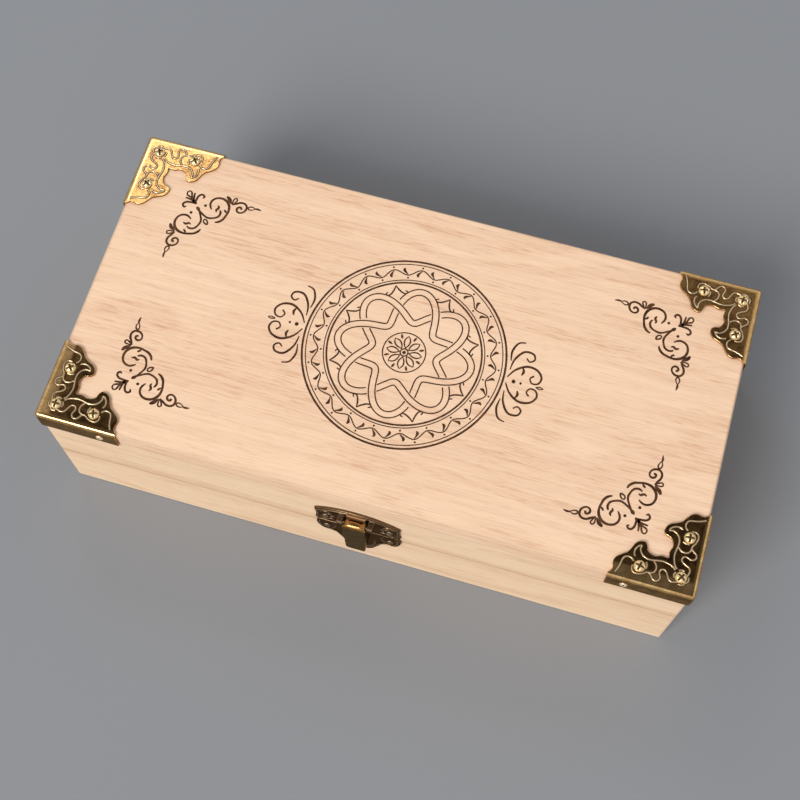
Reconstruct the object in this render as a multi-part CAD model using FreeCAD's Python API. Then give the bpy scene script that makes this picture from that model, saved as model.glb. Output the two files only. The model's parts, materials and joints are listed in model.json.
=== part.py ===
import FreeCAD, Part
import math
import os

# A hinged wooden card box with stamped corner guards, a hanging clasp and two butterfly hinges.
# Sizes are in millimetres. X runs along the front from left to right, Y runs to the back and
# Z up. The origin is the middle of the underside, and the lid is closed.

# Box, glued up closed and sawn apart at the seam
box_length = 200.0
box_width = 100.0
base_height = 31.5
lid_height = 23.5
wall = 5.0
top_thickness = 6.0
bottom_thickness = 4.0
corner_lap = 2.5
bottom_rabbet = 2.5
corner_round = 1.0
edge_arris = 0.4
seam_arris = 0.15

# Nails with domed heads and square shanks; both sizes are half of the width across corners
head_sides = 10
shank_sides = 4
guard_nail_head = 1.75
guard_nail_dome = 1.3
guard_nail_shank = 0.6
guard_nail_length = 5.0
plate_nail_head = 1.2
plate_nail_dome = 0.6
plate_nail_shank = 0.5
plate_nail_length = 4.0
nail_clearance = 0.05

# Corner guards on the lid
guard_sheet = 0.8
guard_arm = 25.0
guard_band = 8.6
guard_flange = 7.0
guard_bend = 1.1
guard_nail_inset = 4.5
guard_nail_reach = 16.6
flange_nail_reach = 19.5
flange_nail_drop = 3.6

# Clasp: plates on both sides of the seam, and a tongue hanging on a pin
clasp_sheet = 0.8
clasp_half_width = 13.6
seam_gap = 0.4
lid_plate_side = 9.4
lid_plate_arch = 14.0
base_plate_side = 7.8
base_plate_drop = 20.4
clasp_nail_x = 10.2
lid_plate_nail_rise = 4.8
base_plate_nail_drop = 5.0
pin_rise = 10.2
pin_radius = 0.7
pin_seat = 0.02
pin_play = 0.05
pin_proud = 0.3
barrel_radius = 1.7
ear_radius = 1.3
ear_width = 1.6
hood_half_width = 3.0
hood_height = 1.3
hood_proud = 2.0
running_gap = 0.3
tongue_width = 7.2
tongue_tip_width = 6.4
tongue_arch = 1.3
tongue_reach = 12.1
tongue_front = 1.1
tongue_side = 1.5
tongue_foot = 3.0
catch_width = 2.8
catch_gap = 0.6
catch_top_drop = 1.2
catch_height = 7.2
catch_round = 1.2

# Butterfly hinges on the back
hinge_inset = 40.0
hinge_sheet = 0.8
hinge_half_width = 11.0
hinge_leaf_height = 10.5
hinge_barrel_length = 16.0
hinge_barrel_radius = 1.55
hinge_pin_radius = 0.75
hinge_pin_proud = 0.3
hinge_play = 0.05
hinge_gap = 0.35
knuckle_count = 3
knuckle_gap = 0.15
hinge_nail_x = 7.0
hinge_nail_rise = 6.6

# Levels and places worked out from the sizes above
seam = base_height
lid_top = base_height + lid_height
frame_top = lid_top - top_thickness
front = -box_width / 2
back = box_width / 2
half_length = box_length / 2
pin_level = seam + pin_rise
pin_out = clasp_sheet + running_gap + barrel_radius
ear_inside = tongue_width / 2 + running_gap
ear_outside = ear_inside + ear_width
tip_level = seam - tongue_reach
channel_front = pin_out + barrel_radius - tongue_front
hinge_axis = back + running_gap + hinge_barrel_radius

# The two kinds of nail: head radius, dome height, shank radius, length under the head
guard_nail = (guard_nail_head, guard_nail_dome, guard_nail_shank, guard_nail_length)
plate_nail = (plate_nail_head, plate_nail_dome, plate_nail_shank, plate_nail_length)


def vec(x, y, z):
    return FreeCAD.Vector(x, y, z)


UP = vec(0, 0, 1)
RIGHT = vec(1, 0, 0)
FORWARD = vec(0, -1, 0)
BACKWARD = vec(0, 1, 0)


def block(xs, ys, zs):
    """Solid between two corners, each axis given as (low, high)."""
    return Part.makeBox(xs[1] - xs[0], ys[1] - ys[0], zs[1] - zs[0], vec(xs[0], ys[0], zs[0]))


def face(start, steps, place):
    """Flat face inside an outline. A step is (end,) for a line or (middle, end) for an arc."""
    edges = []
    here = start
    for step in steps:
        if len(step) == 1:
            edges.append(Part.LineSegment(place(here), place(step[0])).toShape())
        else:
            edges.append(Part.Arc(place(here), place(step[0]), place(step[1])).toShape())
        here = step[-1]
    return Part.Face(Part.Wire(edges))


def mirrored_back(start, steps, flip):
    """The mirror image of a half outline, run backwards from its end to its start."""
    ends = [start] + [step[-1] for step in steps]
    back_steps = []
    for index in reversed(range(len(steps))):
        middles = tuple(flip(point) for point in steps[index][:-1])
        back_steps.append(middles + (flip(ends[index]),))
    return back_steps


def across(point):
    return (-point[0], point[1])


def swapped(point):
    return (point[1], point[0])


def faceted(sides, rings, seat, outward):
    """Flat-sided solid through rings of (radius, height), with heights measured outward."""
    placement = FreeCAD.Placement(seat, FreeCAD.Rotation(UP, outward))
    angles = [2 * math.pi * (side + 0.5) / sides for side in range(sides)]
    loops = []
    for radius, height in rings:
        loop = [vec(radius * math.cos(a), radius * math.sin(a), height) for a in angles]
        loops.append([placement.multVec(point) for point in loop])
    flats = [Part.Face(Part.makePolygon(loop + loop[:1])) for loop in (loops[0], loops[-1])]
    for low, high in zip(loops, loops[1:]):
        for this in range(sides):
            after = (this + 1) % sides
            corners = [low[this], low[after], high[after], high[this], low[this]]
            flats.append(Part.Face(Part.makePolygon(corners)))
    return Part.Solid(Part.Shell(flats))


# Nails


def nail(seat, outward, kind):
    """A nail whose head rests at seat, with its dome facing outward."""
    head, dome, shank, length = kind
    rings = [(head, 0), (0.8 * head, 0.6 * dome), (0.35 * head, dome)]
    top = faceted(head_sides, rings, seat, outward)
    return top.fuse(faceted(shank_sides, [(shank, -length), (shank, 0)], seat, outward))


def nail_hole(seat, outward, kind):
    """The hole that a nail goes into, wider and deeper by the nail clearance."""
    head, dome, shank, length = kind
    radius = shank + nail_clearance
    rings = [(radius, -length - nail_clearance), (radius, nail_clearance)]
    return faceted(shank_sides, rings, seat, outward)


def nails(places, kind):
    return Part.makeCompound([nail(seat, outward, kind) for seat, outward in places])


def nail_holes(places, kind):
    return [nail_hole(seat, outward, kind) for seat, outward in places]


# Where the nails sit: (seat, outward direction)


def corner_nail_places(side_x, side_y):
    """Top and flange nails of the guard at one corner of the lid; the sides are -1 or 1."""
    def top(along, inward):
        x = side_x * (half_length - along)
        y = side_y * (box_width / 2 - inward)
        return (vec(x, y, lid_top + guard_sheet), UP)

    drop = lid_top - flange_nail_drop
    x_nail = side_x * (half_length - flange_nail_reach)
    y_nail = side_y * (box_width / 2 - flange_nail_reach)
    x_face = side_x * (half_length + guard_sheet)
    y_face = side_y * (box_width / 2 + guard_sheet)
    tops = [
        top(guard_nail_inset, guard_nail_inset),
        top(guard_nail_reach, guard_nail_inset),
        top(guard_nail_inset, guard_nail_reach),
    ]
    flanges = [
        (vec(x_nail, y_face, drop), vec(0, side_y, 0)),
        (vec(x_face, y_nail, drop), vec(side_x, 0, 0)),
    ]
    return tops, flanges


def clasp_nail_places(level):
    face_y = front - clasp_sheet
    return [(vec(side * clasp_nail_x, face_y, level), FORWARD) for side in (-1, 1)]


def hinge_nail_places(centre, side):
    """Nails of one leaf; side is 1 for the lid's leaf and -1 for the base's."""
    level = seam + side * hinge_nail_rise
    face_y = back + hinge_sheet
    return [(vec(centre + way * hinge_nail_x, face_y, level), BACKWARD) for way in (-1, 1)]


corners = {
    "front_left": (-1, -1),
    "front_right": (1, -1),
    "back_left": (-1, 1),
    "back_right": (1, 1),
}
hinge_centres = {"left": hinge_inset - half_length, "right": half_length - hinge_inset}
top_places = {name: corner_nail_places(*sides)[0] for name, sides in corners.items()}
flange_places = {name: corner_nail_places(*sides)[1] for name, sides in corners.items()}
lid_clasp_places = clasp_nail_places(seam + lid_plate_nail_rise)
base_clasp_places = clasp_nail_places(seam - base_plate_nail_drop)
lid_hinge_places = {name: hinge_nail_places(x, 1) for name, x in hinge_centres.items()}
base_hinge_places = {name: hinge_nail_places(x, -1) for name, x in hinge_centres.items()}


# Wood


def outer_blank(low, high, outer_level, sawn_level):
    """One half of the closed box as a full block, with rounded corners and broken edges."""
    blank = block((-half_length, half_length), (front, back), (low, high))

    def lies_on(edge, level):
        return all(abs(corner.Point.z - level) < 1e-6 for corner in edge.Vertexes)

    upright = [e for e in blank.Edges if not lies_on(e, low) and not lies_on(e, high)]
    blank = blank.makeFillet(corner_round, upright)
    blank = blank.makeChamfer(edge_arris, [e for e in blank.Edges if lies_on(e, outer_level)])
    return blank.makeChamfer(seam_arris, [e for e in blank.Edges if lies_on(e, sawn_level)])


def frame_boards(low, high, blank):
    """Four boards round the box: the side boards are let into the ends of the other two."""
    boards = {}
    lap_y = box_width / 2 - wall + corner_lap
    for name, side in (("front", -1), ("back", 1)):
        ys = sorted((side * (box_width / 2 - wall), side * box_width / 2))
        board = block((-half_length, half_length), ys, (low, high))
        lap_ys = sorted((side * (box_width / 2 - wall), side * lap_y))
        for end in (-1, 1):
            lap_xs = sorted((end * (half_length - wall), end * half_length))
            board = board.cut(block(lap_xs, lap_ys, (low, high)))
        boards[name] = board.common(blank)
    for name, side in (("left", -1), ("right", 1)):
        xs = sorted((side * (half_length - wall), side * half_length))
        boards[name] = block(xs, (-lap_y, lap_y), (low, high)).common(blank)
    return boards


def base_wood():
    """Boards and bottom panel of the base; the panel is let in flush with the underside."""
    blank = outer_blank(0, seam, 0, seam)
    boards = frame_boards(0, seam, blank)
    panel_x = half_length - wall + bottom_rabbet
    panel_y = box_width / 2 - wall + bottom_rabbet
    panel = block((-panel_x, panel_x), (-panel_y, panel_y), (0, bottom_thickness))
    holes = nail_holes(base_clasp_places, plate_nail)
    for places in base_hinge_places.values():
        holes += nail_holes(places, plate_nail)
    parts = {f"base_{name}_board": board.cut([panel] + holes) for name, board in boards.items()}
    parts["base_bottom_panel"] = panel
    return parts


def lid_wood():
    """Boards of the lid, and the top panel that is glued over them."""
    blank = outer_blank(seam, lid_top, lid_top, seam)
    boards = frame_boards(seam, frame_top, blank)
    boards["top"] = block((-half_length, half_length), (front, back), (frame_top, lid_top))
    boards["top"] = boards["top"].common(blank)
    holes = nail_holes(lid_clasp_places, plate_nail)
    for places in lid_hinge_places.values():
        holes += nail_holes(places, plate_nail)
    for name in corners:
        holes += nail_holes(top_places[name], guard_nail)
        holes += nail_holes(flange_places[name], plate_nail)
    parts = {f"lid_{name}_board": board.cut(holes) for name, board in boards.items()}
    parts["lid_top_panel"] = parts.pop("lid_top_board")
    return parts


# Corner guards


def guard_outline():
    """Guard seen from above, its outer corner outside the box's by the sheet thickness."""
    start = (-guard_sheet, -guard_sheet)
    arm = guard_arm
    band = guard_band
    half = [
        ((arm, -guard_sheet),),
        ((arm, 0.4),),
        ((arm - 0.8, 1.3), (arm - 1.0, 2.6)),
        ((arm - 0.8, 4.4), (arm - 1.8, 5.9)),
        ((arm - 2.8, 6.7), (arm - 4.0, 7.5)),
        ((arm - 4.7, 8.6), (arm - 5.3, 9.9)),
        ((arm - 6.6, 11.6), (arm - 8.6, 12.0)),
        ((arm - 9.3, 11.0), (arm - 9.6, 9.8)),
        ((arm - 10.9, band + 0.3), (band + 4.0, band + 0.1)),
        ((band + 3.1, band + 0.5), (band + 2.2, band + 0.7)),
        ((band + 1.0, band + 0.5),),
    ]
    notch = [((band + 0.65, band + 0.65), (band + 0.5, band + 1.0))]
    return face(start, half + notch + mirrored_back(start, half, swapped), lambda p: vec(*p, 0))


def corner_guard(side_x, side_y):
    """Stamped guard: a cusped plate on the lid with a flange down each outer face."""
    plate = guard_outline().extrude(UP * guard_sheet)
    long_side = (-guard_sheet, guard_arm)
    thin_side = (-guard_sheet, 0)
    levels = (-guard_flange, guard_sheet)
    guard = plate.fuse([block(long_side, thin_side, levels), block(thin_side, long_side, levels)])
    guard = guard.removeSplitter()
    outer = -guard_sheet
    bends = []
    for edge in guard.Edges:
        ends = [corner.Point for corner in edge.Vertexes]
        on_x = all(abs(p.x - outer) < 1e-6 for p in ends)
        on_y = all(abs(p.y - outer) < 1e-6 for p in ends)
        on_top = all(abs(p.z - guard_sheet) < 1e-6 for p in ends)
        if (on_x and on_y) or (on_top and (on_x or on_y)):
            bends.append(edge)
    guard = guard.makeFillet(guard_bend, bends)
    if side_x > 0:
        guard = guard.mirror(vec(0, 0, 0), vec(1, 0, 0))
    if side_y > 0:
        guard = guard.mirror(vec(0, 0, 0), vec(0, 1, 0))
    guard.translate(vec(side_x * half_length, side_y * box_width / 2, lid_top))
    return guard


def guards():
    parts = {}
    for name, sides in corners.items():
        holes = nail_holes(top_places[name], guard_nail)
        holes += nail_holes(flange_places[name], plate_nail)
        parts[f"corner_guard_{name}"] = corner_guard(*sides).cut(holes)
    every_top = [place for places in top_places.values() for place in places]
    every_flange = [place for places in flange_places.values() for place in places]
    parts["guard_top_nails"] = nails(every_top, guard_nail)
    parts["guard_flange_nails"] = nails(every_flange, plate_nail)
    return parts


# Clasp


def on_front(point):
    """Place a point of the front view: x and height above the seam, on the front face."""
    return vec(point[0], front, seam + point[1])


def side_view(x):
    """Placer for a side view at x: distance out of the front face, and level."""
    return lambda point: vec(x, front - point[0], point[1])


def slab(x_low, x_high, start, steps):
    """A side view profile carried from one x to another."""
    return face(start, steps, side_view(x_low)).extrude(vec(x_high - x_low, 0, 0))


def ear(x_low, x_high):
    """Round-ended ear that holds one end of the clasp's pin."""
    low = pin_level - ear_radius
    high = pin_level + ear_radius
    return slab(x_low, x_high, (0, low), [
        ((pin_out, low),),
        ((pin_out + ear_radius, pin_level), (pin_out, high)),
        ((0, high),),
        ((0, low),),
    ])


def pin_bore(radius):
    reach = ear_outside + pin_proud
    place = vec(-reach, front - pin_out, pin_level)
    return Part.makeCylinder(radius, 2 * reach, place, RIGHT)


def clasp_lid_plate():
    """Arched plate on the lid, with an ear at each side of the tongue and a hood above it."""
    side = clasp_half_width
    start = (0, seam_gap)
    half = [
        ((side - 0.9, seam_gap),),
        ((side - 0.25, seam_gap + 0.3), (side, seam_gap + 1.2)),
        ((side - 0.35, (seam_gap + lid_plate_side) / 2), (side, lid_plate_side)),
    ]
    arch = [((0, lid_plate_arch), (-side, lid_plate_side))]
    outline = face(start, half + arch + mirrored_back(start, half, across), on_front)
    plate = outline.extrude(FORWARD * clasp_sheet)
    low = pin_level + barrel_radius + running_gap
    high = low + hood_height
    hood = slab(-hood_half_width, hood_half_width, (0, low), [
        ((hood_proud, low),),
        ((hood_proud - 0.2, low + 0.7 * hood_height), (hood_proud - 0.8, high)),
        ((0, high),),
        ((0, low),),
    ])
    ears = [ear(ear_inside, ear_outside), ear(-ear_outside, -ear_inside)]
    plate = plate.fuse(ears + [hood]).removeSplitter()
    return plate.cut([pin_bore(pin_radius + pin_seat)] + nail_holes(lid_clasp_places, plate_nail))


def clasp_pin():
    """Pin through the tongue's barrel, tight in both ears."""
    reach = ear_outside + pin_proud
    place = vec(-reach, front - pin_out, pin_level)
    return Part.makeCylinder(pin_radius, 2 * reach, place, RIGHT)


def clasp_tongue():
    """Round-topped hollow tongue on the pin, open behind and at the foot for the catch."""
    rear = pin_out - barrel_radius
    nose = pin_out + barrel_radius
    half_width = tongue_width / 2
    tip_half = tongue_tip_width / 2
    neck = pin_level - barrel_radius
    crown = pin_level + barrel_radius
    body = slab(-half_width, half_width, (rear, pin_level), [
        ((pin_out, crown), (nose, pin_level)),
        ((nose, tip_level + 2.0),),
        ((nose - 0.25, tip_level + 0.7), (nose - tongue_front, tip_level)),
        ((rear + 1.4, tip_level),),
        ((rear + 0.4, tip_level + 1.6), (rear, tip_level + 4.5)),
        ((rear, pin_level),),
    ])
    start = (0, tip_level)
    half = [
        ((0.66 * tip_half, tip_level + 0.25 * tongue_foot), (tip_half, tip_level + tongue_foot)),
        ((half_width, crown - tongue_arch),),
    ]
    arch = [((0, crown), (-half_width, crown - tongue_arch))]
    steps = half + arch + mirrored_back(start, half, across)
    outline = face(start, steps, lambda p: vec(p[0], front, p[1])).extrude(FORWARD * nose)
    channel_half = half_width - tongue_side
    channel_top = neck - tongue_front / 2
    channel_bend = channel_top - tongue_front
    foot = tip_level - 1
    channel = slab(-channel_half, channel_half, (0, foot), [
        ((0, channel_top),),
        ((channel_front - tongue_front, channel_top),),
        ((channel_front - 0.3 * tongue_front, channel_top - 0.3 * tongue_front),
         (channel_front, channel_bend)),
        ((channel_front, foot),),
        ((0, foot),),
    ])
    tongue = body.common(outline)
    return tongue.cut([channel, pin_bore(pin_radius + pin_play)])


def clasp_base_plate():
    """Shield plate on the base, with the catch that stands inside the closed tongue."""
    side = clasp_half_width
    start = (0, -seam_gap)
    foot = -base_plate_drop
    half = [
        ((side - 0.9, -seam_gap),),
        ((side, -base_plate_side / 2), (side - 1.0, -base_plate_side)),
        ((side - 2.2, -base_plate_side - 1.5), (side - 3.7, -base_plate_side - 1.8)),
        ((side - 5.4, -base_plate_side - 2.1), (side - 6.6, -base_plate_side - 3.6)),
        ((side - 9.0, foot + 3.2),),
        ((side - 10.9, foot + 0.8), (0, foot)),
    ]
    outline = face(start, half + mirrored_back(start, half, across), on_front)
    plate = outline.extrude(FORWARD * clasp_sheet)
    top = seam - catch_top_drop
    low = top - catch_height
    out = channel_front - catch_gap
    catch = slab(-catch_width / 2, catch_width / 2, (0, low), [
        ((0, top),),
        ((out - catch_round, top),),
        ((out - 0.3 * catch_round, top - 0.3 * catch_round), (out, top - catch_round)),
        ((out - 0.2, top - 0.6 * catch_height), (0, low)),
    ])
    plate = plate.fuse(catch).removeSplitter()
    return plate.cut(nail_holes(base_clasp_places, plate_nail))


def clasp():
    return {
        "clasp_lid_plate": clasp_lid_plate(),
        "clasp_base_plate": clasp_base_plate(),
        "clasp_tongue": clasp_tongue(),
        "clasp_pin": clasp_pin(),
        "clasp_lid_nails": nails(lid_clasp_places, plate_nail),
        "clasp_base_nails": nails(base_clasp_places, plate_nail),
    }


# Hinges


def knuckle_spans(centre, side):
    """X spans of one leaf's knuckles: the base's take the even places, the lid's the odd."""
    pitch = hinge_barrel_length / knuckle_count
    first = 1 if side > 0 else 0
    low = centre - hinge_barrel_length / 2
    return [(low + i * pitch, low + (i + 1) * pitch) for i in range(first, knuckle_count, 2)]


def hinge_leaf(centre, side):
    """Butterfly leaf with its rolled knuckles; side is 1 for the lid and -1 for the base."""
    wing = hinge_half_width
    height = hinge_leaf_height
    neck = hinge_barrel_length / 2
    start = (0, hinge_gap)
    half = [
        ((neck, hinge_gap),),
        ((neck + 0.4, 1.8), (neck + 1.6, 2.8)),
        ((wing, height - 2.6), (wing - 4.4, height)),
        ((wing - 6.6, height - 2.4), (0, height - 3.4)),
    ]
    steps = half + mirrored_back(start, half, across)
    outline = face(start, steps, lambda p: vec(centre + p[0], back, seam + side * p[1]))
    leaf = outline.extrude(BACKWARD * hinge_sheet)
    clear = hinge_barrel_radius + running_gap
    for low, high in knuckle_spans(centre, -side):
        levels = sorted((seam, seam + side * clear))
        sheet = (back - 1, back + hinge_sheet + 1)
        leaf = leaf.cut(block((low - knuckle_gap, high + knuckle_gap), sheet, levels))
    barrels = []
    for low, high in knuckle_spans(centre, side):
        place = vec(low + knuckle_gap, hinge_axis, seam)
        length = high - low - 2 * knuckle_gap
        barrels.append(Part.makeCylinder(hinge_barrel_radius, length, place, RIGHT))
    leaf = leaf.fuse(barrels).removeSplitter()
    bore_place = vec(centre - neck - 1, hinge_axis, seam)
    bore = Part.makeCylinder(hinge_pin_radius + hinge_play, 2 * neck + 2, bore_place, RIGHT)
    return leaf.cut([bore] + nail_holes(hinge_nail_places(centre, side), plate_nail))


def hinge_pin(centre):
    reach = hinge_barrel_length / 2 + hinge_pin_proud
    return Part.makeCylinder(hinge_pin_radius, 2 * reach, vec(centre - reach, hinge_axis, seam), RIGHT)


def hinges():
    parts = {}
    for name, centre in hinge_centres.items():
        parts[f"hinge_{name}_lid_leaf"] = hinge_leaf(centre, 1)
        parts[f"hinge_{name}_base_leaf"] = hinge_leaf(centre, -1)
        parts[f"hinge_{name}_pin"] = hinge_pin(centre)
    every_lid = [place for places in lid_hinge_places.values() for place in places]
    every_base = [place for places in base_hinge_places.values() for place in places]
    parts["hinge_lid_nails"] = nails(every_lid, plate_nail)
    parts["hinge_base_nails"] = nails(every_base, plate_nail)
    return parts


os.makedirs("parts", exist_ok=True)
for make in (base_wood, lid_wood, guards, clasp, hinges):
    for node, shape in make().items():
        shape.exportStep(f"parts/{node}.step")
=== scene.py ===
import json
import math

import bmesh
import bpy
from mathutils import Matrix, Vector

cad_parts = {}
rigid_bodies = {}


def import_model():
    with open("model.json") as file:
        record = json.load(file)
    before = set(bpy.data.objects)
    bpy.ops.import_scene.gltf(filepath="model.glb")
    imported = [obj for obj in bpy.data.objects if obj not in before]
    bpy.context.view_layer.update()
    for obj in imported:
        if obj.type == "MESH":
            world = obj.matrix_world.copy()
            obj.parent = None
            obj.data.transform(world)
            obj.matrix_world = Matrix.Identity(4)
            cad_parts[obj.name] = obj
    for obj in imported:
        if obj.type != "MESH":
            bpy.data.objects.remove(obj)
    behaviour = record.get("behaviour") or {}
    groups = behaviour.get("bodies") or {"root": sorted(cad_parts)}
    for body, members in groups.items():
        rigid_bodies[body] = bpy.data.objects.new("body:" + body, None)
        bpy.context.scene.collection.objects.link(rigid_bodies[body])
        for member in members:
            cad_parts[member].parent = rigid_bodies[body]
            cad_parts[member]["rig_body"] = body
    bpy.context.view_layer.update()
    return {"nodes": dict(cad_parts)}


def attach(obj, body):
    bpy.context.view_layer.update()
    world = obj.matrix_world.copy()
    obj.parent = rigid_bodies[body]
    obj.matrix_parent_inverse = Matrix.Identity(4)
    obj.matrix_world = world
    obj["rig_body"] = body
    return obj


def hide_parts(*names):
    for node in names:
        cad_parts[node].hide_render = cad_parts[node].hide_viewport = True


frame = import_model()
nodes = frame["nodes"]

# Drawing is done in millimetres, and pieces are placed in metres. The origin is the middle of the
# underside, X runs along the front from left to right, and Y from the clasp to the hinges.
MM = 0.001  # in metres
METRE = 1000.0  # in millimetres
half_length = 100.0
half_width = 50.0
lid_top = 55.0
glue_level = 49.0
seam = 31.5
sheet = 0.8


# Materials


class Nodes:
    """Short ways to add nodes to a node tree, where a value is a number or a socket to link."""

    # Where a mix node keeps the sockets that it uses for colours
    FACTOR, COLOUR_A, COLOUR_B, MIXED = 0, 6, 7, 2

    def __init__(self, tree):
        self.tree = tree

    def set(self, node, inputs):
        for key, value in inputs.items():
            socket = node.inputs[key]
            if isinstance(value, bpy.types.NodeSocket):
                self.tree.links.new(value, socket)
            else:
                socket.default_value = value

    def add(self, kind, inputs=None, **options):
        node = self.tree.nodes.new(kind)
        for key, value in options.items():
            setattr(node, key, value)
        self.set(node, inputs or {})
        return node

    def split(self, vector):
        """The X, Y and Z of a vector."""
        return self.add("ShaderNodeSeparateXYZ", {"Vector": vector}).outputs

    def span(self, value, low, high, to_low=0.0, to_high=1.0, **options):
        """Map a value from one range to another, clamped."""
        inputs = {
            "Value": value,
            "From Min": low,
            "From Max": high,
            "To Min": to_low,
            "To Max": to_high,
        }
        return self.add("ShaderNodeMapRange", inputs, **options).outputs["Result"]

    def math(self, operation, *values):
        node = self.add("ShaderNodeMath", dict(enumerate(values)), operation=operation)
        return node.outputs["Value"]

    def weighed(self, *pairs):
        """The sum of values, each times its weight."""
        total, *others = [self.math("MULTIPLY", *pair) for pair in pairs]
        for other in others:
            total = self.math("ADD", total, other)
        return total

    def blend(self, amount, a, b, kind="MIX"):
        """Mix two colours, each of them a socket or three numbers."""
        a, b = [
            colour if isinstance(colour, bpy.types.NodeSocket) else (*colour, 1.0)
            for colour in (a, b)
        ]
        inputs = {self.FACTOR: amount, self.COLOUR_A: a, self.COLOUR_B: b}
        node = self.add("ShaderNodeMix", inputs, data_type="RGBA", blend_type=kind)
        return node.outputs[self.MIXED]


class Shader(Nodes):
    """A material with a Principled shader."""

    def __init__(self, name, **settings):
        self.material = bpy.data.materials.new(name)
        self.material.use_nodes = True
        super().__init__(self.material.node_tree)
        self.surface = self.tree.nodes["Principled BSDF"]
        self.set(self.surface, settings)

    def place(self, scale, location=(0.0, 0.0, 0.0)):
        """Object coordinates, scaled along each axis and shifted."""
        source = self.add("ShaderNodeTexCoord").outputs["Object"]
        inputs = {"Vector": source, "Scale": scale, "Location": location}
        return self.add("ShaderNodeMapping", inputs).outputs["Vector"]

    def millimetres(self):
        """The X, Y and Z of the point on the object."""
        return self.split(self.place((METRE,) * 3))

    def noise(self, vector, detail=3.0, roughness=0.55):
        inputs = {"Vector": vector, "Scale": 1.0, "Detail": detail, "Roughness": roughness}
        return self.add("ShaderNodeTexNoise", inputs).outputs["Fac"]

    def even_noise(self, per_metre, detail=3.0, roughness=0.55):
        """Noise of one scale in all directions."""
        return self.noise(self.place((per_metre,) * 3), detail, roughness)

    def vary(self, noise, low, high):
        """Make a noise go from low to high; nearly all of its values lie from 0.3 to 0.7."""
        return self.span(noise, 0.3, 0.7, low, high)

    def bump(self, height, distance, strength=1.0):
        inputs = {"Height": height, "Distance": distance, "Strength": strength}
        normal = self.add("ShaderNodeBump", inputs).outputs["Normal"]
        self.set(self.surface, {"Normal": normal})


top_tones = ((0.955, 0.675, 0.462), (0.74, 0.44, 0.275))
side_tones = ((0.95, 0.70, 0.47), (0.74, 0.465, 0.275))
seam_tone = (0.30, 0.19, 0.11)
glue_tone = (0.42, 0.27, 0.15)
# Colour of the painted shade along the upper edges of the lid
edge_shade_tone = (0.52, 0.36, 0.23)
streak_tone = (0.66, 0.38, 0.21)
streak_core_tone = (0.52, 0.30, 0.16)


def hairline(shader, colour, height, level, core, reach, strength, tone):
    """A thin line round one height: at its strength up to core from it, and gone at reach."""
    away = shader.math("ABSOLUTE", shader.math("SUBTRACT", height, level))
    return shader.blend(shader.span(away, core, reach, strength, 0.0), colour, tone)


def red_streak(shader, colour, height, along):
    """A reddish streak that rises slightly to the right, crisp below and fading above."""
    slope, middle, wavering, strength = 0.024, 26.1, 1.4, 0.5
    line = shader.math("MULTIPLY_ADD", along, slope, middle)
    waver = shader.even_noise(22.0, detail=2.0)
    line = shader.math("ADD", line, shader.math("MULTIPLY", waver, wavering))
    above = shader.math("SUBTRACT", height, line)
    edge = shader.span(above, 0.0, 0.25)
    fade = shader.span(above, 0.1, 4.2, 1.0, 0.0)
    red = shader.math("MULTIPLY", shader.math("MULTIPLY", edge, fade), strength)
    colour = shader.blend(red, colour, streak_tone)
    return hairline(
        shader, colour, above, 0.6, core=0.3, reach=0.9, strength=0.34, tone=streak_core_tone
    )


def shaded_edges(shader, colour, parts):
    """Painted shade: slightly darker wood along the upper edges of the lid, which dulls the
    highlight on their rounding.
    """
    start, full, strength = 0.9, 0.35, 0.5
    outer = [
        shader.span(shader.math("ABSOLUTE", parts[axis]), size - start, size - full)
        for axis, size in (("X", half_length), ("Y", half_width))
    ]
    top = shader.span(parts["Z"], lid_top - start, lid_top - full)
    rim = shader.math("MULTIPLY", shader.math("MAXIMUM", *outer), top)
    return shader.blend(shader.math("MULTIPLY", rim, strength), colour, edge_shade_tone)


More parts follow.
